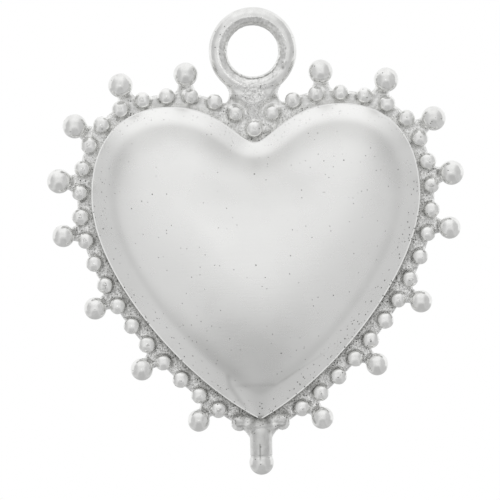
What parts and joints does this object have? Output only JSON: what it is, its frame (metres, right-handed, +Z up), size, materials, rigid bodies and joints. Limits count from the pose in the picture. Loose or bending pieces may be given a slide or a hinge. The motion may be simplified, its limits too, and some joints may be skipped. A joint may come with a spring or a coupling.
{
  "type": "heart pendant",
  "caption": "Silver heart pendant: hollow puffed heart on a flat plate, with a border of granules and balls, a drop at the tip and a fixed ring for a chain or cord.",
  "frame": {"origin": "centre of the ring that the pendant hangs by", "axes": "+Z up as it hangs, -Y towards the viewer of its front, +Y out of its flat back, +X to that viewer's right"},
  "size_m": [0.05, 0.0065, 0.0561],
  "materials": {
    "polished_silver": "gloss",
    "satin_silver": "satin",
    "dull_silver": "satin"
  },
  "bodies": {
    "root": {"back_plate": "dull_silver", "bail_ring": "polished_silver", "bail_seat": "dull_silver", "heart_dome": "satin_silver", "drop": "polished_silver", "cleft_granule": "polished_silver", "granule_left_01": "polished_silver", "granule_left_02": "polished_silver", "granule_left_13": "polished_silver", "granule_left_16": "polished_silver", "granule_left_19": "polished_silver", "granule_left_22": "polished_silver", "granule_right_01": "polished_silver", "granule_right_02": "polished_silver", "granule_right_13": "polished_silver", "granule_right_16": "polished_silver", "granule_right_19": "polished_silver", "granule_right_22": "polished_silver", "granule_pair_left_1": "polished_silver", "granule_pair_left_2": "polished_silver", "granule_pair_left_3": "polished_silver", "granule_pair_left_4": "polished_silver", "granule_pair_left_5": "polished_silver", "granule_pair_left_6": "polished_silver", "granule_pair_left_7": "polished_silver", "granule_pair_left_8": "polished_silver", "granule_pair_right_1": "polished_silver", "granule_pair_right_2": "polished_silver", "granule_pair_right_3": "polished_silver", "granule_pair_right_4": "polished_silver", "granule_pair_right_5": "polished_silver", "granule_pair_right_6": "polished_silver", "granule_pair_right_7": "polished_silver", "granule_pair_right_8": "polished_silver", "ball_left_1": "polished_silver", "ball_left_2": "polished_silver", "ball_left_3": "polished_silver", "ball_left_4": "polished_silver", "ball_left_5": "polished_silver", "ball_left_6": "polished_silver", "ball_left_7": "polished_silver", "ball_left_8": "polished_silver", "ball_right_1": "polished_silver", "ball_right_2": "polished_silver", "ball_right_3": "polished_silver", "ball_right_4": "polished_silver", "ball_right_5": "polished_silver", "ball_right_6": "polished_silver", "ball_right_7": "polished_silver", "ball_right_8": "polished_silver"}
  },
  "joints": []
}
